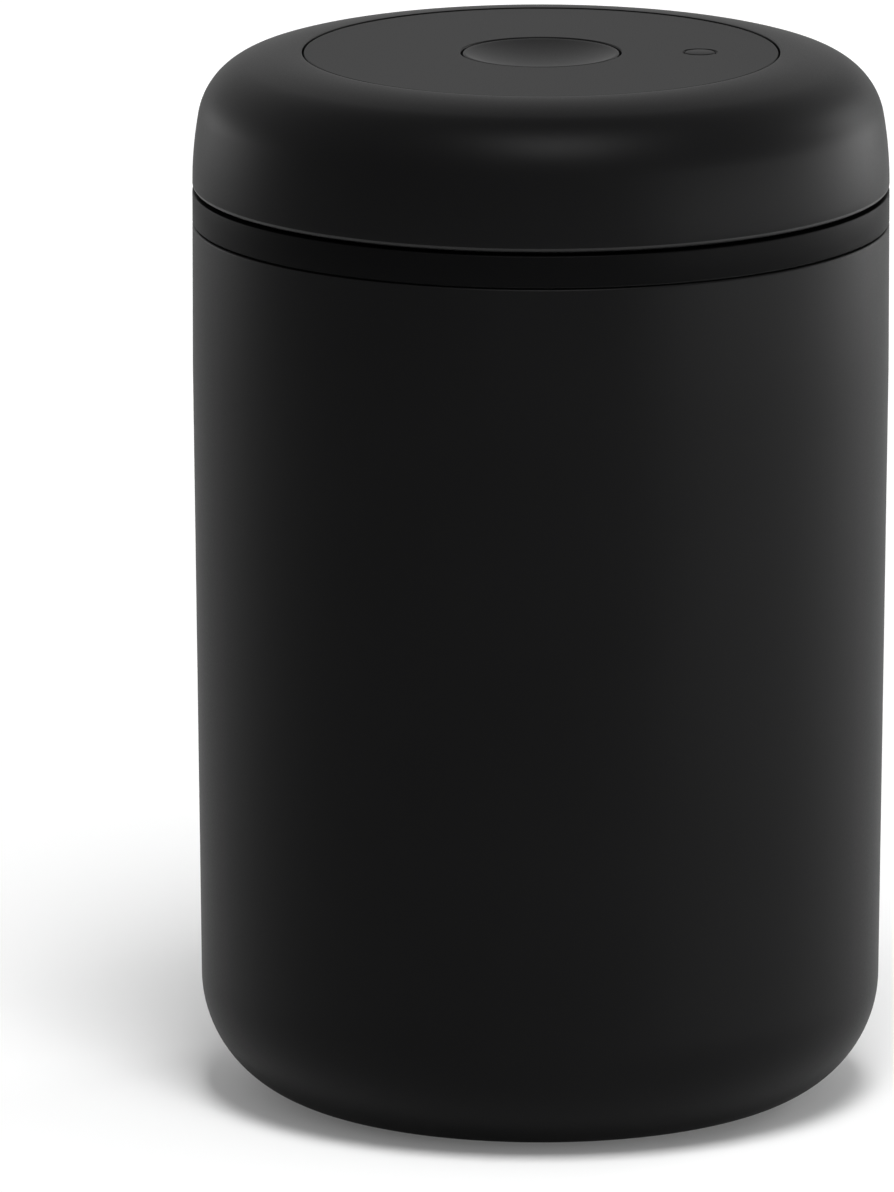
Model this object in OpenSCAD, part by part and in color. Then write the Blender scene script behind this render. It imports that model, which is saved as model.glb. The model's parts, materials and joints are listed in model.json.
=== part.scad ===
// Coffee canister with a twist-to-pump lid: a steel body, and a lid whose domed ring works an
// air pump, with a release button and a vacuum indicator in its fixed top disc.
// Millimetres, +Z up. The origin is the centre of the base, on the surface that it stands on.

/* [Canister] */
// Outer diameter at the mouth
body_d = 124; // [116:1:150]
// Height of the rim above the table
body_h = 158.6; // [120:0.2:240]
// Steel thickness
steel_t = 0.8; // [0.6:0.1:1.4]
// How much the radius draws in from the mouth to the foot
body_draft = 1.3; // [0:0.1:3]
// Height below the rim that has no draft
straight_h = 26; // [10:1:60]
// Radius of the round between the wall and the base
base_round = 22; // [12:1:28]
// Width of the flat foot ring
foot_w = 6; // [4:0.5:10]
// Depth of the pressed recess in the base
recess_h = 1.6; // [0.5:0.1:3]

/* [Lid base] */
// Open seam between the rim and the fixed band
rim_seam = 0.4; // [0.3:0.05:1]
// Height of the fixed band
band_h = 5.5; // [4:0.1:12]
// Gap between the plug and the inside of the canister
plug_gap = 2; // [1.6:0.1:4]
// Wall of the plug
plug_wall = 2; // [1.6:0.1:3]
// Depth of the plug floor below the rim
plug_depth = 29.6; // [29:0.2:40]
// Thickness of the floor and of the shelf
plate_t = 2.5; // [2:0.1:4]
// Width of the rounding on the visible edges of the lid
edge = 0.4; // [0.2:0.1:0.6]

/* [Twist ring] */
// Running seam between the band and the twist ring
ring_seam = 0.6; // [0.4:0.05:1.2]
// Height of the twist ring
ring_h = 24.2; // [23:0.1:32]
// Wall of the twist ring
ring_t = 2.4; // [1.8:0.1:3]
// Radius of the tight shoulder curve
shoulder_r = 12.3; // [10:0.1:13]
// Lean of the side, in degrees, where the shoulder starts
side_lean = 10; // [8:1:12]
// Slope of the crown, in degrees, where the shoulder ends
crown_slope = 72; // [70:1:74]
// How far the ring turns, in degrees
twist_angle = 80; // [60:1:85]

/* [Top disc] */
// Diameter of the fixed top disc
disc_d = 84.4; // [84:0.2:88]
// Gap between the disc and the twist ring
disc_gap = 0.3; // [0.2:0.05:0.6]
// Thickness of the disc
disc_t = 2.5; // [2:0.1:3.5]
// How far the disc lies below the edge of the ring
disc_drop = 0.1; // [0:0.05:0.5]

/* [Release button] */
// Diameter of the button
button_d = 27.9; // [24:0.1:30]
// Gap round the button
button_gap = 0.35; // [0.2:0.05:0.6]
// Depth of the thumb dish
dish_h = 2; // [0.5:0.1:3]
// Width of the flat rim round the dish
dish_rim = 0.9; // [0.5:0.1:2]
// Travel of the button
button_travel = 2.5; // [1.5:0.1:3]
// Diameter of the valve stem
stem_d = 4; // [3:0.1:5]
// Wire of the button's spring
button_wire = 0.9; // [0.6:0.1:1.2]
// Middle diameter of the button's spring
button_coil_d = 11.2; // [10.4:0.1:12]
// Curls of the button's spring
button_curls = 7; // [4:1:9]

/* [Vacuum indicator] */
// Distance of the indicator from the middle
indicator_r = 28.2; // [27.6:0.1:28.4]
// Diameter of the indicator pin
pin_d = 5.4; // [5:0.1:5.6]
// Gap round the indicator pin
pin_gap = 0.25; // [0.15:0.05:0.4]
// Travel of the indicator pin
pin_travel = 2.5; // [1.5:0.1:3]
// Diameter of the small piston below the pin
pin_piston_d = 5.1; // [4:0.1:5.2]
// Wire of the indicator's spring
pin_wire = 0.4; // [0.3:0.05:0.5]
// Middle diameter of the indicator's spring
pin_coil_d = 3.8; // [3.2:0.1:4]
// Curls of the indicator's spring
pin_curls = 5; // [3:1:5]

/* [Pump] */
// Bore of the pump cylinder
pump_bore = 44; // [40:0.5:44]
// Stroke of the piston over the whole twist
pump_stroke = 10; // [6:0.5:10]
// Thickness of the piston
piston_t = 6; // [5:0.1:6]
// Outer diameter of the tube that the piston slides on
tube_d = 16; // [14:0.5:16]
// Diameter of the cam pins
cam_pin_d = 4.4; // [3.6:0.1:4.6]
// Outer diameter of the guide tower
tower_d = 70.4; // [70:0.2:72]
// Wall of the guide tower
tower_wall = 2.2; // [1.8:0.1:2.4]
// Wall of the cam drum
drum_wall = 3; // [2.5:0.1:3.2]

/* [Filter] */
// Gap between the filter cover and the screw heads beside it
cover_gap = 0.7; // [0.5:0.1:2]
// Depth of the filter cover
cover_h = 4.4; // [4:0.1:6]
// Number of vent slots
vent_n = 24; // [12:1:28]
// Width of a vent slot
vent_w = 1.8; // [1:0.1:2]

/* [Fasteners] */
// Shank diameter of the screws
screw_d = 3; // [2.5:0.1:3.2]
// Head diameter of the screws
head_d = 5.6; // [5:0.1:6]
// Head height of the screws
head_h = 1.6; // [1.2:0.1:1.8]
// Diameter of the posts that take a screw
post_d = 6.4; // [6:0.1:6.6]

/* [Clearances] */
// Clearance beside pieces that move freely
free = 0.3; // [0.2:0.05:0.5]
// Radial clearance of a running fit
fit = 0.08; // [0.04:0.01:0.1]

/* [Hidden] */

$fn = 96;
// Steps of an arc in an outline
arc_steps = 12;
// A cut runs past its faces by this much
over = 0.5;

black_matt = [0.10, 0.10, 0.105];
black_coat = [0.12, 0.12, 0.125];
rubber_grey = [0.22, 0.22, 0.23];
pump_white = [0.86, 0.86, 0.83];
pump_grey = [0.55, 0.57, 0.60];
steel_bright = [0.75, 0.76, 0.78];
signal_green = [0.16, 0.62, 0.28];

// Canister
body_r = body_d / 2;
foot_r = body_r - body_draft - base_round;
bore_r = body_r - steel_t;

// Levels of the lid, from the rim up and down
band_z = body_h + rim_seam;
band_top = band_z + band_h;
ring_z = band_top + ring_seam;
ring_top = ring_z + ring_h;
disc_z = ring_top - disc_drop;
floor_z = body_h - plug_depth;
floor_top = floor_z + plate_t;

// Plug and gasket
plug_r = bore_r - plug_gap;
plug_in = plug_r - plug_wall;
sleeve_t = 0.8;
sleeve_h = 13.6;
lip_h = 1.6;
lip_pitch = 4.5;
shoulder_w = 0.8;
rim_lift = 0.1;

// The shelf carries the glide ring, and the drum hooks under it
shelf_top = band_z + 1;
shelf_z = shelf_top - plate_t;
glide_h = 1.2;
glide_w = 3.4;
skirt_w = 2;
skirt_gap = 0.7;
skirt_r = plug_in - skirt_gap - skirt_w;
skirt_z = shelf_top + glide_h + free;
hook_gap = 0.4;
hook_t = 2.1;

// Widths from the plug inwards: the floor's seal, the screw posts, and the hook of the drum
screw_r = screw_d / 2;
pilot_r = screw_r - 0.2;
head_r = head_d / 2;
post_r = post_d / 2;
seal_w = 1.6;
seal_step = 1.5;
seal_in = plug_in - free - seal_w;
wall_post_r = seal_in - free - post_r;
wall_post_gap = 0.7;
wall_post_angles = [45, 135, 225, 315];
wall_pilot_h = 12;
hook_r = wall_post_r - post_r - wall_post_gap;

// Widths from the tower outwards: the drum, its screw posts, and the edge of the shelf
tower_r = tower_d / 2;
tower_in = tower_r - tower_wall;
drum_in = tower_r + fit;
drum_r = drum_in + drum_wall;
drum_post_d = 6;
pilot_gap = 0.05;
drum_post_r = drum_r + pilot_r + pilot_gap;
shelf_gap = 0.6;
shelf_in = drum_post_r + drum_post_d / 2 + shelf_gap;

// Guide tower and cam drum
foot_post_h = 8;
drum_rise = 13;
drum_top = shelf_top + drum_rise;
drum_pilot_h = 10;
cam_pin_r = cam_pin_d / 2;
slot_r = cam_pin_r + free;
cam_high = drum_top - slot_r - 2;
cam_low = cam_high - pump_stroke;
drum_z = cam_low - slot_r - hook_t - hook_gap;
hook_z = shelf_z - hook_gap - hook_t;
arm_angles = [60, 180, 300];
drum_post_angles = [for (a = arm_angles) a + 20];
cam_steps = 8;

// Top disc: it stands on the tower
disc_r = disc_d / 2;
opening_r = disc_r + disc_gap;
disc_under = disc_z - disc_t;
seat_ring_h = 5.8;
tower_top = disc_under - seat_ring_h;
ear_t = 4;
ear_bite = 0.4;
ear_r = tower_in - post_r + ear_bite;
ear_angles = [90, 210, 330];
disc_skirt_h = 2.5;
disc_skirt_w = 2;
inner_wall = 2.2;
flange_t = 2.5;

// Release button
button_r = button_d / 2;
button_top = disc_z - 0.1;
sleeve_r = button_r + button_gap;
sleeve_wall = 2;
guide_h = 7.8;
sleeve_z = disc_under - guide_h;
button_wall = 1.4;
lip_t = 1.3;
lip_w = 1.6;
roof_t = 1.8;
roof_z = button_top - dish_h - roof_t;
stem_r = stem_d / 2;
boss_r = stem_r + 1.4;
stem_top = roof_z - 1.4;

// Valve at the bottom of the centre tube
tube_r = tube_d / 2;
tube_in = tube_r - 3;
seat_r = stem_r + 1.6;
seat_w = 1;
seat_h = 0.4;
seal_r = seat_r + seat_w + 1.2;
seal_t = 1.1;
seal_top = floor_z - seat_h - free;
stem_head_r = seal_r - 0.8;
stem_head_t = 1;

// Centre tube, its bush, and the spring on it
tube_top = cam_high - 3;
bush_t = 1.2;
bush_h = 6;
spring_z = tube_top + bush_t;
boss_lift = 8;
boss_z = spring_z + button_travel + boss_lift;

// Pump
pump_r = pump_bore / 2;
pump_wall = 2;
piston_z = floor_top + 2;
arm_h = 6;
arm_w = 7;
arm_z = cam_low - arm_h / 2;
pump_top = arm_z - 1;
hub_in = tube_r + 4;
hub_r = hub_in + 4;
arm_end = tower_in - 0.6;
seal_h = 2.6;
seal_depth = 2.1;
flap_t = 0.6;
flap_holes = 6;
inlet_w = 6;
outlet_w = 3.5;

// Vacuum indicator
pin_r = pin_d / 2;
pin_bore = pin_r + pin_gap;
pin_head_h = 4.8;
pin_under = disc_z - pin_head_h;
collar_wall = 0.7;
collar_top = disc_z - 1.7;
pin_boss_r = pin_bore + 2.4;
pin_piston_r = pin_piston_d / 2;
chamber_r = pin_piston_r + 0.06;
chamber_wall = 1;
pin_spring_h = 6.4;
chamber_top = pin_under - pin_spring_h;
pin_piston_h = 4;
pin_piston_drop = 3;
pin_piston_z = chamber_top - pin_piston_drop - pin_piston_h;
chamber_h = pin_piston_drop + pin_piston_h + pin_travel + 1.5;
pin_rod_r = 1;
pin_groove = 0.6;

// Filter below the floor
cover_z = floor_z - cover_h;
cover_t = 1.6;
cover_r = wall_post_r - head_r - cover_gap;
cover_wall = 1.5;
cover_in = seal_r + 2.7;
screen_t = 0.3;
cover_post_r = tower_r + post_r + 0.5;
cover_post_angles = [30, 150, 270];
cover_post_h = 5.5;
vent_margin = 5;
vent_from = cover_in + cover_wall + vent_margin;
vent_to = cover_post_r - post_r - wall_post_gap;

// Points of an arc about c, from one angle to another
function arc(c, r, from, to, n = arc_steps) =
    [for (i = [0:n]) c + r * [cos(from + (to - from) * i / n), sin(from + (to - from) * i / n)]];

// The side and crown arcs that join the shoulder curve to the foot and the opening of the ring
dome_w = body_r - opening_r;
dome_a = dome_w - shoulder_r * (cos(side_lean) - cos(crown_slope));
dome_b = ring_h - edge - shoulder_r * (sin(crown_slope) - sin(side_lean));
dome_det = (1 - cos(side_lean)) * (1 - sin(crown_slope)) - cos(crown_slope) * sin(side_lean);
side_r = (dome_a * (1 - sin(crown_slope)) - dome_b * cos(crown_slope)) / dome_det;
crown_r = ((1 - cos(side_lean)) * dome_b - sin(side_lean) * dome_a) / dome_det;
side_c = [body_r - side_r, ring_z + edge];
shoulder_c = side_c + (side_r - shoulder_r) * [cos(side_lean), sin(side_lean)];
crown_c = [opening_r, ring_top - crown_r];
echo(side_radius = side_r, crown_radius = crown_r);

// Outline of the dome at a depth below its surface, from its foot to its opening
function dome(depth) = concat(
    arc(side_c, side_r - depth, 0, side_lean, 6),
    arc(shoulder_c, shoulder_r - depth, side_lean, crown_slope, arc_steps),
    arc(crown_c, crown_r - depth, crown_slope, 90, 6));

// A ring about Z, from one radius to another and from one height to another
module band(r1, r2, z1, z2) {
    rotate_extrude() translate([r1, z1]) square([r2 - r1, z2 - z1]);
}

// Upright cylinders at a radius, one for each angle
module posts(at_r, angles, r, z1, z2) {
    for (a = angles)
        rotate([0, 0, a]) translate([at_r, 0, z1]) cylinder(r = r, h = z2 - z1, $fn = 32);
}

// Screws at a radius, with their heads' undersides at z; up is 1 where the shanks point up
module screws(at_r, angles, z, long, up) {
    for (a = angles)
        rotate([0, 0, a]) translate([at_r, 0, z]) mirror([0, 0, up < 0 ? 1 : 0])
            difference() {
                union() {
                    translate([0, 0, -head_h]) cylinder(r = head_r, h = head_h, $fn = 32);
                    cylinder(r = pilot_r, h = long, $fn = 32);
                }
                translate([0, 0, -head_h - over]) cylinder(d = head_d / 2, h = 1 + over, $fn = 6);
            }
}

// Rings of a coil spring between two heights, with eight to a curl
coil_rings = 8;
coil_sides = 6;
function coil_point(r, z1, z2, curls, i) = [
    r * cos(360 * i / coil_rings),
    r * sin(360 * i / coil_rings),
    z1 + (z2 - z1) * i / (coil_rings * curls)];
function coil_points(r, wire_r, z1, z2, curls) = [
    for (i = [0:coil_rings * curls]) let (t = 360 * i / coil_rings) for (k = [0:coil_sides - 1])
        let (s = 360 * k / coil_sides, out = r + wire_r * cos(s))
            [out * cos(t), out * sin(t), coil_point(r, z1, z2, curls, i)[2] + wire_r * sin(s)]];
function tube_faces(n, m) = concat(
    [for (k = [1:m - 2]) [0, k, k + 1]],
    [for (k = [1:m - 2]) [n * m, n * m + k + 1, n * m + k]],
    [for (i = [0:n - 1]) for (k = [0:m - 1])
        [i * m + k, (i + 1) * m + k, (i + 1) * m + (k + 1) % m]],
    [for (i = [0:n - 1]) for (k = [0:m - 1])
        [i * m + k, (i + 1) * m + (k + 1) % m, i * m + (k + 1) % m]]);
function coil_gap(r, wire_r, z1, z2, curls) = min([
    for (i = [0:coil_rings * (curls - 1)]) for (j = [i + coil_rings - 2:i + coil_rings])
        norm(coil_point(r, z1, z2, curls, i) - coil_point(r, z1, z2, curls, j)) - 2 * wire_r]);

// A coil spring whose ends lie flat between two heights
module coil(r, wire, z1, z2, curls) {
    wire_r = wire / 2;
    low = z1 + wire_r;
    high = z2 - wire_r;
    echo(least_coil_gap = coil_gap(r, wire_r, low, high, curls));
    polyhedron(coil_points(r, wire_r, low, high, curls), tube_faces(coil_rings * curls, coil_sides));
}

// One helical cam track, which climbs the stroke as the drum turns under a fixed pin: straight
// slots, each laid along the slope, that run into one another
track_climb = pump_stroke / twist_angle;
track_slope = atan(track_climb * 180 / PI / (drum_in + drum_wall / 2));
track_cut = drum_wall + 4 * over;
module track(a) {
    long = 2 * drum_r * tan(twist_angle / cam_steps / 2) + 2 * (slot_r + free);
    for (i = [0:cam_steps - 1])
        let (turn = twist_angle * (i + 0.5) / cam_steps)
            rotate([0, 0, a - turn])
                translate([drum_in + drum_wall / 2, 0, cam_low + track_climb * turn])
                    rotate([-track_slope, 0, 0])
                        cube([track_cut, long, 2 * slot_r], center = true);
}

module canister_body() {
    half = steel_t / 2;
    draft_z = body_h - straight_h;
    outside = concat(
        [[0, recess_h], [foot_r - foot_w - recess_h, recess_h], [foot_r - foot_w, 0]],
        arc([foot_r, base_round], base_round, -90, 0),
        [[body_r, draft_z]],
        arc([body_r - half, body_h - half], half, 0, 90, 4));
    inside = concat(
        [[0, recess_h + steel_t], [foot_r - foot_w - recess_h + half, recess_h + steel_t],
            [foot_r - foot_w + half, steel_t]],
        arc([foot_r, base_round], base_round - steel_t, -90, 0),
        [[body_r - steel_t, draft_z]],
        arc([body_r - half, body_h - half], half, 180, 90, 4));
    color(black_coat)
        rotate_extrude($fn = 180)
            polygon(concat(outside, [for (i = [len(inside) - 2:-1:0]) inside[i]]));
}

module lid_base() {
    color(black_matt) difference() {
        union() {
            rotate_extrude($fn = 180) polygon([
                [plug_in, floor_z], [plug_r + shoulder_w - edge, floor_z],
                [plug_r + shoulder_w, floor_z + edge], [plug_r + shoulder_w, band_z - sleeve_h],
                [plug_r, band_z - sleeve_h], [plug_r, band_z], [body_r - edge / 2, band_z],
                [body_r, band_z + edge / 2], [body_r, band_top - edge], [body_r - edge, band_top],
                [plug_r, band_top], [plug_r, band_top + 3], [plug_in, band_top + 3]]);
            band(shelf_in, plug_in + over, shelf_z, shelf_top);
            band(plug_in - 2, plug_in + over, floor_top + seal_step, floor_top + seal_step + 2);
            posts(wall_post_r, wall_post_angles, post_r, floor_top, shelf_z + over);
        }
        posts(wall_post_r, wall_post_angles, pilot_r, floor_top - over,
            floor_top + wall_pilot_h);
    }
}

module body_gasket() {
    lip_r = bore_r - free;
    lip_root = plug_r + sleeve_t;
    color(rubber_grey) rotate_extrude($fn = 180) {
        translate([plug_r, band_z - sleeve_h]) square([sleeve_t, sleeve_h]);
        translate([plug_r, body_h + rim_lift])
            square([bore_r + edge - plug_r, rim_seam - rim_lift]);
        for (i = [0, 1]) translate([0, band_z - sleeve_h + lip_h + i * lip_pitch])
            polygon([[lip_root - over, 0], [lip_r - edge, lip_h / 4], [lip_r, lip_h],
                [lip_r - edge, lip_h], [lip_root - over, lip_h]]);
    }
}

module glide_ring() {
    color(pump_white) band(plug_in - glide_w, plug_in, shelf_top, shelf_top + glide_h);
}

module pump_housing() {
    color(pump_grey) difference() {
        union() {
            band(seat_r, plug_in - free, floor_z, floor_top);
            band(seat_r, seat_r + seat_w, floor_z - seat_h, floor_z + over);
            band(pump_r, pump_r + pump_wall, floor_top - over, pump_top);
            band(tube_in, tube_r, floor_top - over, tube_top);
            translate([indicator_r, 0, floor_z + over])
                cylinder(r = chamber_r + chamber_wall, h = chamber_top - floor_z - over);
            posts(cover_post_r, cover_post_angles, post_r, floor_top - over,
                floor_top + cover_post_h);
        }
        translate([indicator_r, 0, chamber_top - chamber_h]) cylinder(r = chamber_r, h = chamber_h + over);
        translate([indicator_r, 0, floor_z - over])
            cylinder(r = chamber_r / 2, h = chamber_top - floor_z, $fn = 32);
        posts(cover_post_r, cover_post_angles, pilot_r, floor_z - over,
            floor_top + cover_post_h - 1.5);
        posts(wall_post_r, wall_post_angles, screw_r + 0.1, floor_z - over, floor_top + over);
        posts(ear_r, ear_angles, screw_r + 0.1, floor_z - over, floor_top + over);
        posts(tube_r + 3.5, [for (i = [0:flap_holes - 1]) 360 * i / flap_holes], 1.2,
            floor_z - over, floor_top + over);
        for (a = [0, 90]) rotate([0, 0, a]) translate([0, 0, arm_z]) rotate([90, 0, 0])
            cylinder(r = 1.5, h = 3 * tube_r, center = true, $fn = 32);
    }
}

module housing_seal() {
    color(rubber_grey) band(seal_in, seal_in + seal_w, floor_top, floor_top + seal_step);
}

module housing_screws() {
    color(steel_bright) screws(wall_post_r, wall_post_angles, floor_z,
        plate_t + wall_pilot_h - 3, 1);
}

module inlet_valve() {
    color(rubber_grey) band(tube_r + 0.2, tube_r + 0.2 + inlet_w, floor_top,
        floor_top + flap_t);
}

module filter_screen() {
    color(steel_bright) difference() {
        band(cover_in + cover_wall + 0.2, cover_r - cover_wall - 0.2, cover_z + cover_t,
            cover_z + cover_t + screen_t);
        posts(cover_post_r, cover_post_angles, post_r + 0.2, cover_z, floor_z);
    }
}

module filter_cover() {
    color(black_matt) difference() {
        union() {
            rotate_extrude() polygon([
                [cover_in, cover_z], [cover_r - edge, cover_z], [cover_r, cover_z + edge],
                [cover_r, floor_z], [cover_r - cover_wall, floor_z],
                [cover_r - cover_wall, cover_z + cover_t], [cover_in + cover_wall, cover_z + cover_t],
                [cover_in + cover_wall, floor_z], [cover_in, floor_z]]);
            posts(cover_post_r, cover_post_angles, post_r, cover_z + over, floor_z);
        }
        posts(cover_post_r, cover_post_angles, screw_r + 0.1, cover_z - over, floor_z + over);
        for (i = [0:vent_n - 1]) rotate([0, 0, 360 * i / vent_n])
            translate([vent_from, -vent_w / 2, cover_z - over])
                cube([vent_to - vent_from, vent_w, cover_t + 2 * over]);
    }
}

module cover_screws() {
    color(steel_bright) screws(cover_post_r, cover_post_angles, cover_z,
        cover_h + plate_t + cover_post_h - 4.4, 1);
}

module guide_tower() {
    color(pump_white) difference() {
        union() {
            band(tower_in, tower_r, floor_top, tower_top);
            posts(ear_r, ear_angles, post_r, floor_top, floor_top + foot_post_h);
            posts(ear_r, ear_angles, post_r, tower_top - ear_t, tower_top);
        }
        posts(ear_r, ear_angles, pilot_r, floor_top - over, floor_top + foot_post_h - 1);
        posts(ear_r, ear_angles, screw_r + 0.1, tower_top - ear_t - over, tower_top + over);
        for (a = arm_angles) rotate([0, 0, a]) {
            translate([tower_in - over, -slot_r, cam_low])
                cube([tower_wall + 2 * over, 2 * slot_r, pump_stroke]);
            for (z = [cam_low, cam_high]) translate([tower_in - over, 0, z])
                rotate([0, 90, 0]) cylinder(r = slot_r, h = tower_wall + 2 * over, $fn = 32);
        }
        // Room for the indicator's chamber, wherever the indicator stands
        translate([indicator_r, 0, floor_top - over])
            cylinder(r = chamber_r + chamber_wall + free, h = tower_top - floor_top + 2 * over);
    }
}

module tower_screws() {
    color(steel_bright) screws(ear_r, ear_angles, floor_z, plate_t + foot_post_h - 2, 1);
}

module top_disc() {
    color(black_matt) difference() {
        union() {
            rotate_extrude($fn = 180) polygon([
                [sleeve_r, sleeve_z], [sleeve_r + sleeve_wall, sleeve_z],
                [sleeve_r + sleeve_wall, disc_under], [disc_r - disc_skirt_w, disc_under],
                [disc_r - disc_skirt_w, disc_under - disc_skirt_h], [disc_r, disc_under - disc_skirt_h],
                [disc_r, disc_z - edge], [disc_r - edge, disc_z], [sleeve_r + edge, disc_z],
                [sleeve_r, disc_z - edge]]);
            band(tower_in, tower_r, tower_top, disc_under + over);
            posts(ear_r, ear_angles, post_r, tower_top, disc_under + over);
            translate([indicator_r, 0, tower_top])
                cylinder(r = pin_boss_r, h = disc_under + over - tower_top, $fn = 48);
        }
        posts(ear_r, ear_angles, pilot_r, tower_top - over, disc_under - 0.8);
        translate([indicator_r, 0, tower_top - over])
            cylinder(r = pin_bore, h = disc_z - tower_top + 2 * over, $fn = 48);
        translate([indicator_r, 0, tower_top - over])
            cylinder(r = pin_bore + collar_wall, h = collar_top - tower_top + over, $fn = 48);
    }
}

module disc_screws() {
    color(steel_bright) screws(ear_r, ear_angles, tower_top - ear_t, ear_t + 4.5, 1);
}

module indicator_collar() {
    color(signal_green) translate([indicator_r, 0, 0])
        band(pin_bore, pin_bore + collar_wall, tower_top + over, collar_top);
}

module stem_guide() {
    color(pump_white) {
        band(stem_r + fit, tube_in, tube_top - bush_h, tube_top + over);
        band(stem_r + fit, tube_r - 0.2, tube_top, spring_z);
    }
}

module button_spring() {
    color(steel_bright) coil(button_coil_d / 2, button_wire, spring_z, roof_z, button_curls);
}

module indicator_spring() {
    color(steel_bright) translate([indicator_r, 0, 0])
        coil(pin_coil_d / 2, pin_wire, chamber_top, pin_under, pin_curls);
}

module twist_ring() {
    // The dome outline filled down to the axis
    module filled(depth, low) {
        polygon(concat([[0, low], [body_r - depth, low]], dome(depth), [[0, ring_top - depth]]));
    }
    color(black_matt) difference() {
        rotate_extrude($fn = 180) difference() {
            union() {
                difference() {
                    filled(0, ring_z + edge);
                    filled(ring_t, ring_z);
                }
                polygon([[body_r - ring_t, ring_z], [body_r - edge, ring_z], [body_r, ring_z + edge],
                    [body_r - ring_t, ring_z + edge]]);
                intersection() {
                    filled(0, skirt_z);
                    translate([skirt_r, skirt_z]) square([skirt_w, ring_h]);
                }
                intersection() {
                    filled(0, skirt_z);
                    translate([opening_r, drum_top]) square([inner_wall, ring_h]);
                }
                translate([tower_r + hook_gap, drum_top])
                    square([opening_r + inner_wall - tower_r - hook_gap, flange_t]);
            }
            translate([0, drum_top + flange_t]) square([opening_r, ring_h]);
        }
        posts(drum_post_r, drum_post_angles, screw_r + 0.1, drum_top - over, drum_top + flange_t + over);
        posts(drum_post_r, drum_post_angles, head_r + free, drum_top + flange_t,
            drum_top + flange_t + head_h + free);
    }
}

module cam_drum() {
    color(pump_grey) difference() {
        union() {
            band(drum_in, drum_r, drum_z, drum_top);
            band(drum_in, hook_r, hook_z, hook_z + hook_t);
            posts(drum_post_r, drum_post_angles, drum_post_d / 2, hook_z, drum_top);
        }
        posts(drum_post_r, drum_post_angles, pilot_r, drum_top - drum_pilot_h, drum_top + over);
        for (a = arm_angles) track(a);
    }
}

module ring_screws() {
    color(steel_bright) screws(drum_post_r, drum_post_angles, drum_top + flange_t,
        flange_t + drum_pilot_h - 3, -1);
}

module piston() {
    groove_z = piston_z + (piston_t - seal_h) / 2;
    color(pump_white) difference() {
        union() {
            rotate_extrude() difference() {
                translate([tube_r + free, piston_z]) square([pump_r - tube_r - 2 * free, piston_t]);
                translate([pump_r - free - seal_depth, groove_z]) square([seal_depth + over, seal_h]);
                translate([tube_r + free - over, groove_z]) square([seal_depth + over, seal_h]);
            }
            band(hub_in, hub_r, piston_z + piston_t - over, arm_z + arm_h);
            for (a = arm_angles) rotate([0, 0, a])
                translate([hub_in + 1, -arm_w / 2, arm_z]) cube([arm_end - hub_in - 1, arm_w, arm_h]);
        }
        for (a = arm_angles) rotate([0, 0, a]) translate([hub_r + 1, 0, cam_low]) rotate([0, 90, 0])
            cylinder(r = cam_pin_r, h = tower_in, $fn = 32);
        posts(hub_r + 1.9, [for (i = [0:flap_holes - 1]) 360 * (i + 0.5) / flap_holes], 0.9,
            piston_z - over, piston_z + piston_t + over);
    }
}

module cam_pins() {
    color(steel_bright) for (a = arm_angles) rotate([0, 0, a])
        translate([hub_r + 1, 0, cam_low]) rotate([0, 90, 0])
            cylinder(r = cam_pin_r, h = drum_r - 0.2 - hub_r - 1, $fn = 32);
}

module piston_outer_seal() {
    color(rubber_grey) band(pump_r - free - seal_depth, pump_r - fit,
        piston_z + (piston_t - seal_h) / 2, piston_z + (piston_t + seal_h) / 2);
}

module piston_inner_seal() {
    color(rubber_grey) band(tube_r + fit, tube_r + free + seal_depth,
        piston_z + (piston_t - seal_h) / 2, piston_z + (piston_t + seal_h) / 2);
}

module outlet_valve() {
    color(rubber_grey) band(hub_r + 0.1, hub_r + 0.1 + outlet_w, piston_z + piston_t,
        piston_z + piston_t + flap_t);
}

module release_button() {
    dish_r = button_r - dish_rim;
    ball_r = (dish_r * dish_r + dish_h * dish_h) / (2 * dish_h);
    dish_angle = asin(dish_r / ball_r);
    lip_z = sleeve_z - free;
    color(black_matt) difference() {
        rotate_extrude() polygon(concat(
            arc([0, button_top - dish_h + ball_r], ball_r, -90, -90 + dish_angle),
            [[button_r - edge, button_top], [button_r, button_top - edge], [button_r, lip_z],
                [button_r + lip_w, lip_z], [button_r + lip_w, lip_z - lip_t],
                [button_r - button_wall, lip_z - lip_t], [button_r - button_wall, roof_z],
                [boss_r, roof_z], [boss_r, boss_z], [0, boss_z]]));
        translate([0, 0, boss_z - over]) cylinder(r = stem_r, h = stem_top - boss_z + over, $fn = 48);
    }
}

module valve_stem() {
    color(steel_bright) {
        translate([0, 0, seal_top - seal_t])
            cylinder(r = stem_r, h = stem_top - seal_top + seal_t, $fn = 48);
        translate([0, 0, seal_top - seal_t - stem_head_t])
            cylinder(r = stem_head_r, h = stem_head_t, $fn = 48);
    }
}

module valve_seal() {
    color(rubber_grey) band(stem_r, seal_r, seal_top - seal_t, seal_top);
}

module indicator_pin() {
    color(black_matt) translate([indicator_r, 0, 0]) rotate_extrude($fn = 48) polygon([
        [0, pin_piston_z], [pin_piston_r, pin_piston_z], [pin_piston_r, pin_piston_z + 1],
        [pin_piston_r - pin_groove, pin_piston_z + 1],
        [pin_piston_r - pin_groove, pin_piston_z + pin_piston_h - 1],
        [pin_piston_r, pin_piston_z + pin_piston_h - 1], [pin_piston_r, pin_piston_z + pin_piston_h],
        [pin_rod_r, pin_piston_z + pin_piston_h], [pin_rod_r, pin_under], [pin_r, pin_under],
        [pin_r, disc_z - edge / 2], [pin_r - edge / 2, disc_z], [0, disc_z]]);
}

module indicator_seal() {
    color(rubber_grey) translate([indicator_r, 0, 0]) band(pin_piston_r - pin_groove,
        pin_piston_r + 0.01, pin_piston_z + 1, pin_piston_z + pin_piston_h - 1);
}

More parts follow.
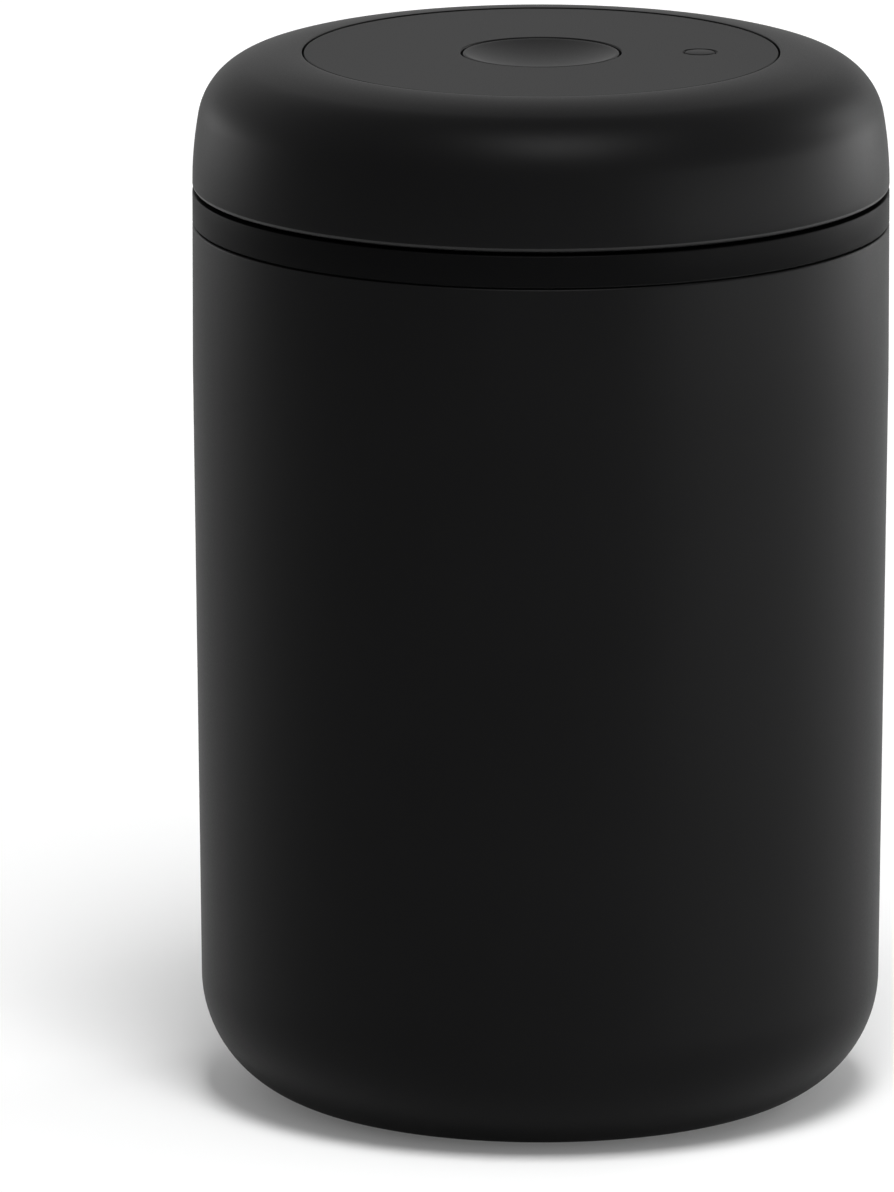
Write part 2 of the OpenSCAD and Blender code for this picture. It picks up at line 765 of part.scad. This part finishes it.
canister_body();
lid_base();
body_gasket();
glide_ring();
pump_housing();
housing_seal();
housing_screws();
inlet_valve();
filter_screen();
filter_cover();
cover_screws();
guide_tower();
tower_screws();
top_disc();
disc_screws();
indicator_collar();
stem_guide();
button_spring();
indicator_spring();
twist_ring();
cam_drum();
ring_screws();
piston();
cam_pins();
piston_outer_seal();
piston_inner_seal();
outlet_valve();
release_button();
valve_stem();
valve_seal();
indicator_pin();
indicator_seal();
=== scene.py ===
import json
from math import asin, cos, degrees, pi, radians, sin

import bpy
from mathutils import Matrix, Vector


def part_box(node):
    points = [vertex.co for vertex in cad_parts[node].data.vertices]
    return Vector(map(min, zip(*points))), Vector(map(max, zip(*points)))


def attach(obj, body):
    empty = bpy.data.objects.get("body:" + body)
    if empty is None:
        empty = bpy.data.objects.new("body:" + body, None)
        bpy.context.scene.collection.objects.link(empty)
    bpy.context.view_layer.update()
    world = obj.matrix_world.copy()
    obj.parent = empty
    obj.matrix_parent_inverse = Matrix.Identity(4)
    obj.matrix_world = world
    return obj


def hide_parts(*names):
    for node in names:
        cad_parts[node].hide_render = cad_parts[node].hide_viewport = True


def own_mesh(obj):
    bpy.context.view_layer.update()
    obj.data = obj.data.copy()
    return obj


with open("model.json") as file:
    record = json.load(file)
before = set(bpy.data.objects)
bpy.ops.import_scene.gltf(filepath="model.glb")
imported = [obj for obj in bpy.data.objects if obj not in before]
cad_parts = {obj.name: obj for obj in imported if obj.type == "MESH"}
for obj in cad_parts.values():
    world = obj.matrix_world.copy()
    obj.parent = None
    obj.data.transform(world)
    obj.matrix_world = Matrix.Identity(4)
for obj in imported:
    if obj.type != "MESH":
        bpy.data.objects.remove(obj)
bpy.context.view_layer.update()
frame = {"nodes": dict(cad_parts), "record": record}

mm = 0.001
print("frame loaded with", len(frame["nodes"]), "nodes")


# Sets the sockets of a node to values, or links wires to them
def feed(node, inputs):
    for name, value in inputs.items():
        if isinstance(value, Wire):
            value.tree.links.new(value.socket, node.inputs[name])
        else:
            node.inputs[name].default_value = value


# A wire is one value or colour in a material, and sums written on it add Math nodes
class Wire:
    def __init__(self, tree, socket):
        self.tree = tree
        self.socket = socket

    def node(self, kind, settings, inputs, output=0):
        added = self.tree.nodes.new("ShaderNode" + kind)
        for name, value in settings.items():
            setattr(added, name, value)
        feed(added, inputs)
        return Wire(self.tree, added.outputs[output])

    def sum(self, operation, first, second):
        return self.node("Math", {"operation": operation}, {0: first, 1: second})

    def __add__(self, other):
        return self.sum("ADD", self, other)

    def __radd__(self, other):
        return self.sum("ADD", other, self)

    def __sub__(self, other):
        return self.sum("SUBTRACT", self, other)

    def __rsub__(self, other):
        return self.sum("SUBTRACT", other, self)

    def __mul__(self, other):
        return self.sum("MULTIPLY", self, other)

    def __rmul__(self, other):
        return self.sum("MULTIPLY", other, self)


def grey(level):
    return (level, level, level, 1)


def startMaterial(name):
    material = bpy.data.materials.new(name)
    material.use_nodes = True
    shader = material.node_tree.nodes["Principled BSDF"]
    finish = Wire(material.node_tree, shader.outputs["BSDF"])
    return material, shader, finish.node("TexCoord", {}, {}, "Object")


def noise(place, perMetre, detail):
    return place.node("TexNoise", {}, {"Vector": place, "Scale": perMetre, "Detail": detail})


# A Mix node has its colours in sockets 6 and 7, and gives them mixed at its output 2
def blendColours(factor, low, high):
    return factor.node("Mix", {"data_type": "RGBA"}, {0: factor, 6: low, 7: high}, 2)


def bump(height, look):
    return height.node("Bump", {}, {"Strength": look["bump"], "Distance": look["depth"], "Height": height})


def remap(value, start, stop, low, high):
    return value.node("MapRange", {}, {"Value": value, "From Min": start, "From Max": stop,
                                       "To Min": low, "To Max": high})


noiseMiddle = 0.5  # the middle of a Noise node's values


# A moulded or coated finish: two close shades, a fine grain, and roughness that varies a little
def grainedFinish(name, look):
    material, shader, place = startMaterial(name)
    cloud = noise(place, look["cloud"], detail=3)
    grain = noise(place, look["grain"], detail=2)
    feed(shader, {
        "Base Color": blendColours(cloud, (*look["dark"], 1), (*look["light"], 1)),
        "Roughness": look["roughness"] + (grain - noiseMiddle) * look["roughSpread"],
        "Specular IOR Level": look["gloss"],
        "Normal": bump(grain, look)})
    return material


# Turned or brushed metal: fine rings about the upright axis
def metalFinish(name, look):
    material, shader, place = startMaterial(name)
    height = place.node("SeparateXYZ", {}, {0: place}, "Z")
    level = place.node("VectorMath", {"operation": "MULTIPLY"}, {0: place, 1: (1, 1, 0)})
    radius = place.node("VectorMath", {"operation": "LENGTH"}, {0: level}, "Value")
    across = place.node("CombineXYZ", {}, {"X": radius, "Y": height * look["ringStretch"]})
    rings = noise(across, look["rings"], detail=4)
    feed(shader, {
        "Base Color": blendColours(rings, (*look["dark"], 1), (*look["light"], 1)),
        "Metallic": 1.0,
        "Roughness": look["roughness"] + (rings - noiseMiddle) * look["roughSpread"],
        "Normal": bump(rings, look)})
    return material


# Woven wire: two crossed waves, with the holes painted dark as painted shade for the space seen through them
def screenFinish(name, look):
    material, shader, place = startMaterial(name)
    wires = []
    for direction in ("X", "Y"):
        wave = {"Vector": place, "Scale": look["pitch"]}
        wires.append(place.node("TexWave", {"bands_direction": direction}, wave, "Fac"))
    weave = wires[0].sum("MAXIMUM", wires[0], wires[1])
    feed(shader, {
        "Base Color": blendColours(weave, grey(look["hole"]), (*look["wire"], 1)),
        "Metallic": weave,
        "Roughness": look["roughness"],
        "Normal": bump(weave, look)})
    return material


coatLook = {"dark": (0.0034, 0.0034, 0.0035), "light": (0.0046, 0.0046, 0.0048), "cloud": 30, "grain": 2600,
            "roughness": 0.44, "roughSpread": 0.1, "gloss": 0.05, "bump": 0.06, "depth": 0.03 * mm}
lidLook = dict(coatLook, grain=3400)
bandLook = dict(lidLook, dark=(0.0018, 0.0018, 0.0019), light=(0.0024, 0.0024, 0.0025), gloss=0.025)
edgeLook = dict(lidLook, gloss=0.28)
discLook = dict(lidLook, roughness=0.52, grain=3800, gloss=0.072)
buttonLook = dict(lidLook, roughness=0.48, grain=3800, gloss=0.1)
rubberLook = dict(coatLook, dark=(0.007, 0.007, 0.0073), light=(0.011, 0.011, 0.0115),
                  roughness=0.6, gloss=0.15)
pumpLook = dict(coatLook, dark=(0.24, 0.25, 0.27), light=(0.29, 0.30, 0.32),
                roughness=0.42, gloss=0.5, grain=900)
glideLook = dict(coatLook, dark=(0.66, 0.66, 0.63), light=(0.74, 0.74, 0.71),
                 roughness=0.38, gloss=0.5, grain=900)
greenLook = dict(coatLook, dark=(0.02, 0.32, 0.06), light=(0.03, 0.38, 0.08),
                 roughness=0.4, gloss=0.5, grain=900)
steelLook = {"dark": (0.44, 0.44, 0.45), "light": (0.56, 0.56, 0.57), "rings": 900, "ringStretch": 1.0,
             "roughness": 0.33, "roughSpread": 0.2, "bump": 0.12, "depth": 0.05 * mm}
screwLook = dict(steelLook, rings=1800, roughness=0.3, bump=0.08)
springLook = dict(steelLook, rings=2600, roughness=0.26, bump=0.05)
# The screen's hole colour is painted shade, standing in for the space seen through the weave
screenLook = {"hole": 0.02, "wire": (0.52, 0.52, 0.53), "pitch": 1100, "roughness": 0.35,
              "bump": 0.4, "depth": 0.08 * mm}

finishes = {
    "steel_coat": grainedFinish("blackCoat", coatLook),
    "lid_plastic": grainedFinish("blackLidPlastic", lidLook),
    "disc_plastic": grainedFinish("blackDiscPlastic", discLook),
    "button_plastic": grainedFinish("blackButtonPlastic", buttonLook),
    "seal_rubber": grainedFinish("greyRubber", rubberLook),
    "pump_plastic": grainedFinish("greyPumpPlastic", pumpLook),
    "glide_plastic": grainedFinish("whiteGlidePlastic", glideLook),
    "signal_green": grainedFinish("greenSignalPlastic", greenLook),
    "screw_steel": metalFinish("screwSteel", screwLook),
    "spring_steel": metalFinish("springSteel", springLook),
    "screen_steel": screenFinish("wovenScreen", screenLook),
}
ownFinishes = {
    "band": grainedFinish("blackBandPlastic", bandLook),
    "ringFoot": grainedFinish("blackEdgePlastic", edgeLook),
    "potInside": metalFinish("brushedInnerSteel", steelLook),
}
print("materials made:", len(finishes) + len(ownFinishes))

# Each node of the frame gets the finish of its slot in the record
for part in frame["record"]["subparts"]:
    for slot in frame["nodes"][part["node"]].material_slots:
        slot.material = finishes[part["material_slot"]]

# Each spring gets a mesh of its own, and is listed with its joint and that joint's whole travel
springs = {"button_spring": {"joint": "button_press", "travel": 2.5},
           "indicator_spring": {"joint": "indicator_drop", "travel": 2.5}}
for node, spring in springs.items():
    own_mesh(frame["nodes"][node])

# Turning: steps in a full turn, the distance that merges points, and the angle that stays sharp
turning = {"steps": 240, "weld": 0.002, "sharp": 35}


# Outlines are points of radius and height in millimetres
def arc(centre, radius, start, stop, count):
    steps = [radians(start + (stop - start) * i / count) for i in range(count + 1)]
    return [(centre[0] + radius * cos(a), centre[1] + radius * sin(a)) for a in steps]


# Turns an outline about the upright axis through (x, 0)
def turned(name, outline, x=0.0, steps=turning["steps"]):
    bpy.ops.object.select_all(action="DESELECT")
    bpy.ops.mesh.primitive_plane_add(size=mm, location=(0, 0, 0))
    piece = bpy.context.object
    piece.name = piece.data.name = name
    bpy.ops.object.mode_set(mode="EDIT")
    bpy.ops.mesh.select_all(action="SELECT")
    bpy.ops.mesh.merge(type="CENTER")
    bpy.ops.transform.translate(value=(outline[0][0] * mm, 0, outline[0][1] * mm))
    for start, stop in zip(outline, outline[1:]):
        step = ((stop[0] - start[0]) * mm, 0, (stop[1] - start[1]) * mm)
        bpy.ops.mesh.extrude_region_move(TRANSFORM_OT_translate={"value": step})
    bpy.ops.mesh.select_all(action="SELECT")
    bpy.ops.mesh.spin(steps=steps, angle=2 * pi, center=(0, 0, 0), axis=(0, 0, 1))
    bpy.ops.mesh.select_all(action="SELECT")
    bpy.ops.mesh.remove_doubles(threshold=turning["weld"] * mm)
    bpy.ops.mesh.normals_make_consistent(inside=False)
    bpy.ops.transform.translate(value=(x * mm, 0, 0))
    bpy.ops.object.mode_set(mode="OBJECT")
    bpy.ops.object.shade_smooth_by_angle(angle=radians(turning["sharp"]))
    return piece


# Joins or cuts a piece with a closed shape, which is used up
def combine(piece, tool, operation):
    bpy.ops.object.select_all(action="DESELECT")
    bpy.context.view_layer.objects.active = piece
    piece.select_set(True)
    modifier = piece.modifiers.new("cut", "BOOLEAN")
    modifier.operation = operation
    modifier.solver = "EXACT"
    modifier.object = tool
    bpy.ops.object.modifier_apply(modifier=modifier.name)
    bpy.data.objects.remove(tool)


# Puts a piece on its body, in place of its node of the frame
def fitPiece(piece, body, node, material):
    piece.data.materials.clear()
    piece.data.materials.append(material)
    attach(piece, body)
    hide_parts(node)


def corners(node):
    low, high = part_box(node)
    return low / mm, high / mm


# Canister: a drawn steel pot with a slight draft, a large round and a pressed recess below
canister = {"wall": 0.8, "draft": 1.3, "straight": 26, "baseRound": 22, "foot": 6, "recess": 1.6,
            "baseSteps": 28, "rimSteps": 6}


def makeCanister(size):
    high = corners("canister_body")[1]
    radius, rim, wall, base, recess = high.x, high.z, size["wall"], size["baseRound"], size["recess"]
    half = wall / 2
    draftEnd = rim - size["straight"]
    footRadius = radius - size["draft"] - base
    footInner = footRadius - size["foot"]
    recessRadius = footInner - recess
    outside = [(0, recess), (recessRadius, recess), (footInner, 0)]
    outside += arc((footRadius, base), base, -90, 0, size["baseSteps"])
    outside += [(radius, draftEnd)]
    outside += arc((radius - half, rim - half), half, 0, 90, size["rimSteps"])
    inside = [(0, recess + wall), (recessRadius + half, recess + wall), (footInner + half, wall)]
    inside += arc((footRadius, base), base - wall, -90, 0, size["baseSteps"])
    inside += [(radius - wall, draftEnd)]
    inside += arc((radius - half, rim - half), half, 180, 90, size["rimSteps"])[:-1]
    piece = turned("canister", outside + inside[::-1])
    fitPiece(piece, "canister", "canister_body", finishes["steel_coat"])
    # Faces deeper than half the wall are on the inner side, which is bare steel
    piece.data.materials.append(ownFinishes["potInside"])
    for face in piece.data.polygons:
        at = face.center / mm
        out = Vector((at.x, at.y)).length
        if at.z < base and out > footRadius:
            depth = base - Vector((out - footRadius, at.z - base)).length
        elif at.z < base:
            depth = at.z - min(recess, max(0, footInner - out))
        else:
            depth = radius - out - max(0, size["draft"] * (1 - (at.z - base) / (draftEnd - base)))
        if depth > half and at.z < rim - half:
            face.material_index = 1


makeCanister(canister)
print("canister turned")

# Lid base: the plug, the shelf inside it, and the fixed band that shows between the seams
lidBase = {"gap": 2, "wall": 2, "collar": 0.8, "band": 5.5, "seam": 0.4, "edge": 0.2, "edgeSteps": 6,
           "underSteps": 4, "upstand": 3, "sleeve": 13.6, "plate": 2.5, "shelfInner": 43.23, "shelfRise": 1,
           "ledge": 2, "ledgeLift": 1.5, "postRadius": 3.2, "postAt": 51.8, "postSteps": 32,
           "postAngles": (45, 135, 225, 315)}


def makeLidBase(size):
    low, high = corners("lid_base")
    radius = high.x
    rim = corners("canister_body")[1].z
    bandLow = rim + size["seam"]
    bandHigh = bandLow + size["band"]
    plug = radius - canister["wall"] - size["gap"]
    inner = plug - size["wall"]
    edge = size["edge"]
    collar = plug + size["collar"]
    collarTop = bandLow - size["sleeve"]
    upstand = bandHigh + size["upstand"]
    shelf = bandLow + size["shelfRise"]
    shelfUnder = shelf - size["plate"]
    floorTop = low.z + size["plate"]
    ledge = floorTop + size["ledgeLift"]
    ledgeTop = ledge + size["ledge"]
    ledgeInner = inner - size["ledge"]
    outline = [(inner, low.z), (collar - edge, low.z), (collar, low.z + edge), (collar, collarTop),
               (plug, collarTop), (plug, bandLow)]
    outline += arc((radius - edge / 2, bandLow + edge / 2), edge / 2, -90, 0, size["underSteps"])
    outline += arc((radius - edge, bandHigh - edge), edge, 0, 90, size["edgeSteps"])
    outline += [(plug, bandHigh), (plug, upstand), (inner, upstand), (inner, shelf),
                (size["shelfInner"], shelf), (size["shelfInner"], shelfUnder), (inner, shelfUnder),
                (inner, ledgeTop), (ledgeInner, ledgeTop), (ledgeInner, ledge), (inner, ledge),
                (inner, low.z)]
    piece = turned("lidBase", outline)
    for angle in size["postAngles"]:
        post = [(0, floorTop), (size["postRadius"], floorTop), (size["postRadius"], bandLow), (0, bandLow)]
        tool = turned("post", post, size["postAt"], size["postSteps"])
        bpy.ops.object.mode_set(mode="EDIT")
        bpy.ops.mesh.select_all(action="SELECT")
        bpy.ops.transform.rotate(value=-radians(angle), orient_axis="Z", center_override=(0, 0, 0))
        bpy.ops.object.mode_set(mode="OBJECT")
        combine(piece, tool, "UNION")
    fitPiece(piece, "lid", "lid_base", ownFinishes["band"])


makeLidBase(lidBase)
print("lid base turned")

# Gasket: a rubber sleeve on the plug with two lips, and a thin flange over the rim
gasket = {"sleeve": 0.8, "lips": 2, "lipHeight": 1.6, "lipPitch": 4.5, "lipSlope": 0.4, "lipClear": 0.3,
          "round": 0.4, "flange": 0.3, "back": 0.5}


def makeGasket(size):
    low, high = corners("body_gasket")
    inner = corners("canister_body")[1].x - canister["wall"] - lidBase["gap"]
    root = inner + size["sleeve"]
    tip = inner + lidBase["gap"] - size["lipClear"]
    outline = [(inner, low.z), (root, low.z)]
    for lip in range(size["lips"]):
        foot = low.z + size["lipHeight"] + lip * size["lipPitch"]
        lipTop = foot + size["lipHeight"]
        outline += [(root, foot), (tip - size["round"], foot + size["lipSlope"]), (tip, lipTop),
                    (tip - size["round"], lipTop), (root, lipTop)]
    rim = high.x - size["back"]
    flangeUnder = high.z - size["flange"]
    outline += [(root, flangeUnder), (rim, flangeUnder), (rim, high.z), (inner, high.z), (inner, low.z)]
    piece = turned("gasket", outline)
    fitPiece(piece, "lid", "body_gasket", finishes["seal_rubber"])


makeGasket(gasket)
print("gasket turned")

# Twist ring: a domed shell of three arcs, with a running skirt, an inner wall and a flange
twistRing = {"seam": 0.6, "shell": 2.4, "shoulder": 12.3, "lean": 10, "crown": 72, "edge": 0.8,
             "openingEdge": 0.12, "opening": 42.5, "innerWall": 2.2, "skirt": 2, "skirtAt": 54.5,
             "flangeInner": 35.6, "flangeLow": 173, "flange": 2.5, "sideSteps": 10, "shoulderSteps": 32,
             "crownSteps": 14, "edgeSteps": 6, "openingSteps": 4}


def heightAt(outline, radius):
    for (r1, z1), (r2, z2) in zip(outline, outline[1:]):
        if r2 <= radius <= r1:
            return z1 + (z2 - z1) * (r1 - radius) / (r1 - r2)


def makeTwistRing(size):
    low, high = corners("twist_ring")
    radius, top, opening, edge = high.x, high.z, size["opening"], size["edge"]
    foot = corners("lid_base")[1].z - lidBase["upstand"] + size["seam"]
    lean, crown, shoulder = radians(size["lean"]), radians(size["crown"]), size["shoulder"]
    # The side and crown arcs that join the shoulder to the foot and the opening
    across = radius - opening - shoulder * (cos(lean) - cos(crown))
    upward = top - foot - edge - shoulder * (sin(crown) - sin(lean))
    spread = (1 - cos(lean)) * (1 - sin(crown)) - cos(crown) * sin(lean)
    side = (across * (1 - sin(crown)) - upward * cos(crown)) / spread
    crownArc = ((1 - cos(lean)) * upward - sin(lean) * across) / spread
    sideAt = (radius - side, foot + edge)
    shoulderAt = (sideAt[0] + (side - shoulder) * cos(lean), sideAt[1] + (side - shoulder) * sin(lean))
    crownAt = (opening, top - crownArc)

    def dome(depth):
        return (arc(sideAt, side - depth, 0, size["lean"], size["sideSteps"])
                + arc(shoulderAt, shoulder - depth, size["lean"], size["crown"], size["shoulderSteps"])[1:]
                + arc(crownAt, crownArc - depth, size["crown"], 90, size["crownSteps"])[1:])

    under = dome(size["shell"])
    innerWall = opening + size["innerWall"]
    skirtIn, skirtOut = size["skirtAt"], size["skirtAt"] + size["skirt"]
    flangeInner, flangeLow = size["flangeInner"], size["flangeLow"]
    flangeHigh = flangeLow + size["flange"]
    openingEdge = size["openingEdge"]
    outline = [(radius - size["shell"], foot)]
    outline += arc((radius - edge, foot + edge), edge, -90, 0, size["edgeSteps"])[:-1]
    outline += dome(0)[:-1]
    outline += arc((opening + openingEdge, top - openingEdge), openingEdge, 90, 180, size["openingSteps"])
    outline += [(opening, flangeHigh), (flangeInner, flangeHigh), (flangeInner, flangeLow),
                (innerWall, flangeLow), (innerWall, heightAt(under, innerWall))]
    outline += [point for point in under[::-1] if innerWall < point[0] < skirtIn]
    outline += [(skirtIn, heightAt(under, skirtIn)), (skirtIn, low.z), (skirtOut, low.z),
                (skirtOut, heightAt(under, skirtOut))]
    outline += [point for point in under[::-1] if point[0] > skirtOut]
    outline += [(radius - size["shell"], foot)]
    piece = turned("twistRing", outline)
    fitPiece(piece, "twist", "twist_ring", finishes["lid_plastic"])
    # The round at the foot is glossier than the dome and shows as a light line
    piece.data.materials.append(ownFinishes["ringFoot"])
    for face in piece.data.polygons:
        at = face.center / mm
        if at.z < foot + edge and Vector((at.x, at.y)).length > radius - edge:
            face.material_index = 1


makeTwistRing(twistRing)
print("twist ring turned")

# Top disc: fixed, with a guide for the button and a lined hole for the indicator
topDisc = {"thick": 2.5, "edge": 0.3, "edgeSteps": 4, "skirt": 2, "skirtDrop": 2.5, "guide": 2, "bore": 14.3,
           "seatIn": 33, "seatOut": 35.2, "seatDrop": 5.8, "holeAt": 28.2, "hole": 2.95, "holeEdge": 0.3,
           "holeSteps": 64, "lining": 0.7, "liningTop": 1.7, "boss": 5.35, "bossSteps": 48, "overlap": 1,
           "flatNormal": 0.999}


def makeTopDisc(size):
    low, high = corners("top_disc")
    top, radius, edge, bore = high.z, high.x, size["edge"], size["bore"]
    under = top - size["thick"]
    seat = under - size["seatDrop"]
    skirtIn, skirtLow = radius - size["skirt"], under - size["skirtDrop"]
    guide = bore + size["guide"]
    outline = [(bore, low.z), (guide, low.z), (guide, under), (size["seatIn"], under),
               (size["seatIn"], seat), (size["seatOut"], seat), (size["seatOut"], under),
               (skirtIn, under), (skirtIn, skirtLow), (radius, skirtLow)]
    outline += arc((radius - edge, top - edge), edge, 0, 90, size["edgeSteps"])
    outline += arc((bore + edge, top - edge), edge, 90, 180, size["edgeSteps"])
    outline += [(bore, low.z)]
    piece = turned("topDisc", outline)
    overlap = size["overlap"]
    boss = [(0, seat), (size["boss"], seat), (size["boss"], under + overlap), (0, under + overlap)]
    combine(piece, turned("boss", boss, size["holeAt"], size["bossSteps"]), "UNION")
    hole = size["hole"]
    wide = hole + size["lining"]
    flare = hole + size["holeEdge"]
    liningTop = top - size["liningTop"]
    cut = [(0, seat - overlap), (wide, seat - overlap), (wide, liningTop), (hole, liningTop),
           (hole, top - size["holeEdge"]), (flare, top), (flare + overlap, top + overlap), (0, top + overlap)]
    combine(piece, turned("bore", cut, size["holeAt"], size["holeSteps"]), "DIFFERENCE")
    bpy.ops.object.shade_smooth_by_angle(angle=radians(turning["sharp"]))
    # The cut leaves long faces across the disc, which shade evenly only when flat
    for face in piece.data.polygons:
        face.use_smooth = face.use_smooth and abs(face.normal.z) < size["flatNormal"]
    fitPiece(piece, "lid", "top_disc", finishes["disc_plastic"])


makeTopDisc(topDisc)
print("top disc turned and bored")

# Release button: a thumb dish on a cup, with a lip below and a socket for the stem
button = {"radius": 13.95, "dish": 2, "dishRim": 0.45, "dishSteps": 28, "edge": 0.35, "edgeSteps": 4,
          "wall": 1.4, "lip": 1.6, "lipHeight": 1.3, "roof": 1.8, "stem": 2, "socketWall": 1.4,
          "socketRoof": 1.4, "socketLow": 177}


def makeButton(size):
    low, high = corners("release_button")
    top, radius, edge, stem, socketLow = high.z, size["radius"], size["edge"], size["stem"], size["socketLow"]
    dish = radius - size["dishRim"]
    ball = (dish * dish + size["dish"] ** 2) / (2 * size["dish"])
    dishAt = (0, top - size["dish"] + ball)
    roof = top - size["dish"] - size["roof"]
    socket = stem + size["socketWall"]
    socketTop = roof - size["socketRoof"]
    lip, lipTop = radius + size["lip"], low.z + size["lipHeight"]
    inner = radius - size["wall"]
    outline = arc(dishAt, ball, -90, -90 + degrees(asin(dish / ball)), size["dishSteps"])
    outline += arc((radius - edge, top - edge), edge, 90, 0, size["edgeSteps"])
    outline += [(radius, lipTop), (lip, lipTop), (lip, low.z), (inner, low.z), (inner, roof), (socket, roof),
                (socket, socketLow), (stem, socketLow), (stem, socketTop), (0, socketTop)]
    piece = turned("releaseButton", outline)
    fitPiece(piece, "button", "release_button", finishes["button_plastic"])


makeButton(button)
print("button turned")

# Indicator: a pin with a grooved piston below, made beside the axis where the disc has its hole
indicator = {"edge": 0.3, "edgeSteps": 4, "head": 4.8, "rod": 1, "pistonRadius": 2.55, "piston": 4,
             "land": 1, "groove": 0.6, "steps": 64}


def makeIndicator(size):
    low, high = corners("indicator_pin")
    top, edge, land, rod, piston = high.z, size["edge"], size["land"], size["rod"], size["pistonRadius"]
    radius = high.x - topDisc["holeAt"]
    pistonTop = low.z + size["piston"]
    groove = piston - size["groove"]
    headLow = top - size["head"]
    outline = [(0, low.z), (piston, low.z), (piston, low.z + land), (groove, low.z + land),
               (groove, pistonTop - land), (piston, pistonTop - land), (piston, pistonTop),
               (rod, pistonTop), (rod, headLow), (radius, headLow)]
    outline += arc((radius - edge, top - edge), edge, 0, 90, size["edgeSteps"])
    outline += [(0, top)]
    piece = turned("indicatorPin", outline, topDisc["holeAt"], size["steps"])
    fitPiece(piece, "indicator", "indicator_pin", finishes["disc_plastic"])


makeIndicator(indicator)
print("indicator turned")

# Studio: a white floor that keeps the shadow, a white background and five soft lamps
studio = {"floor": 12.0, "floorColour": 0.86, "nearGlow": 0.09, "farGlow": 0.62, "near": 0.25, "far": 1.6,
          "ambient": 0.42, "frontFrom": -0.5, "frontTo": 0.5, "front": 0.25,
          "ceilingFrom": 0.55, "ceilingTo": 0.85, "ceiling": 0.2}
lamps = {
    "overhead": {"at": (0.1, -0.66, 1.4), "size": (0.5, 0.75), "power": 19, "aim": (0, 0, 0.15)},
    "fill": {"at": (1.28, -0.7, 0.09), "size": (1.2, 0.16), "power": 9, "aim": (0, 0, 0.1)},
    "right": {"at": (1.3, 0.55, 0.1), "size": (1.5, 0.18), "power": 9, "aim": (0, 0, 0.1)},
    "left": {"at": (-1.2, 0.95, 0.18), "size": (1.0, 0.3), "power": 3.3, "aim": (0, 0, 0.1)},
    "back": {"at": (1.05, 0.9, 0.48), "size": (0.4, 0.4), "power": 3.2, "aim": (0, 0, 0.05)},
}


def makeFloor(size):
    bpy.ops.object.select_all(action="DESELECT")
    bpy.ops.mesh.primitive_plane_add(size=size["floor"], location=(0, 0, 0))
    floor = bpy.context.object
    floor.name = "floor"
    material, shader, spot = startMaterial("whiteFloor")
    feed(shader, {"Base Color": grey(size["floorColour"]), "Roughness": 1.0, "Specular IOR Level": 0.0})
    # The far floor fades to the white of the background, for the camera alone
    seen = spot.node("LightPath", {}, {}, "Is Camera Ray")
    distance = spot.node("VectorMath", {"operation": "LENGTH"}, {0: spot}, "Value")
    strength = remap(distance, size["near"], size["far"], size["nearGlow"], size["farGlow"])
    glow = seen.node("Emission", {}, {"Strength": strength * seen})
    lit = seen.node("AddShader", {}, {0: Wire(seen.tree, shader.outputs["BSDF"]), 1: glow})
    feed(material.node_tree.nodes["Material Output"], {"Surface": lit})
    floor.data.materials.append(material)


# The camera sees white, metal sees walls that are darker in front and above, and the rest is ambient
def makeWorld(size):
    world = bpy.data.worlds.new("studio")
    bpy.context.scene.world = world
    world.use_nodes = True
    background = world.node_tree.nodes["Background"]
    sky = Wire(world.node_tree, background.outputs["Background"])
    seen = sky.node("LightPath", {}, {}, "Is Camera Ray")
    glossy = sky.node("LightPath", {}, {}, "Is Glossy Ray")
    through = sky.node("LightPath", {}, {}, "Is Transmission Ray")
    mirrored = seen.sum("MAXIMUM", glossy, through)
    toward = sky.node("TexCoord", {}, {}, "Generated")
    behind = toward.node("SeparateXYZ", {}, {0: toward}, "Y")
    upward = toward.node("SeparateXYZ", {}, {0: toward}, "Z")
    walls = remap(upward, size["ceilingFrom"], size["ceilingTo"], 1.0, size["ceiling"])
    backdrop = remap(behind, size["frontFrom"], size["frontTo"], size["front"], 1.0)
    strength = seen + walls * backdrop * mirrored + size["ambient"] * (1 - seen - mirrored)
    feed(background, {"Color": grey(1), "Strength": strength})


def makeLamps(rig):
    for name, lamp in rig.items():
        data = bpy.data.lights.new(name, "AREA")
        data.shape = "RECTANGLE"
        data.size, data.size_y = lamp["size"]
        data.energy = lamp["power"]
        light = bpy.data.objects.new(name, data)
        light.location = lamp["at"]
        light.rotation_euler = (Vector(lamp["aim"]) - Vector(lamp["at"])).to_track_quat("-Z", "Y").to_euler()
        bpy.context.scene.collection.objects.link(light)


# Camera: a long lens a little above the lid, as far away as the photograph's was
camera = {"at": (-0.0167, -3.3149, 0.8159), "tiltDown": 12.347, "lens": 573.5, "sensor": 36, "reach": 100}


def makeCamera(size):
    data = bpy.data.cameras.new("camera")
    data.lens = size["lens"]
    data.sensor_width = size["sensor"]
    data.clip_end = size["reach"]
    view = bpy.data.objects.new("camera", data)
    view.location = size["at"]
    view.rotation_euler = (radians(90 - size["tiltDown"]), 0, 0)
    bpy.context.scene.collection.objects.link(view)
    bpy.context.scene.camera = view


makeFloor(studio)
makeWorld(studio)
makeLamps(lamps)
makeCamera(camera)
bpy.context.scene.view_settings.view_transform = "Standard"
print("studio, lamps and camera set")
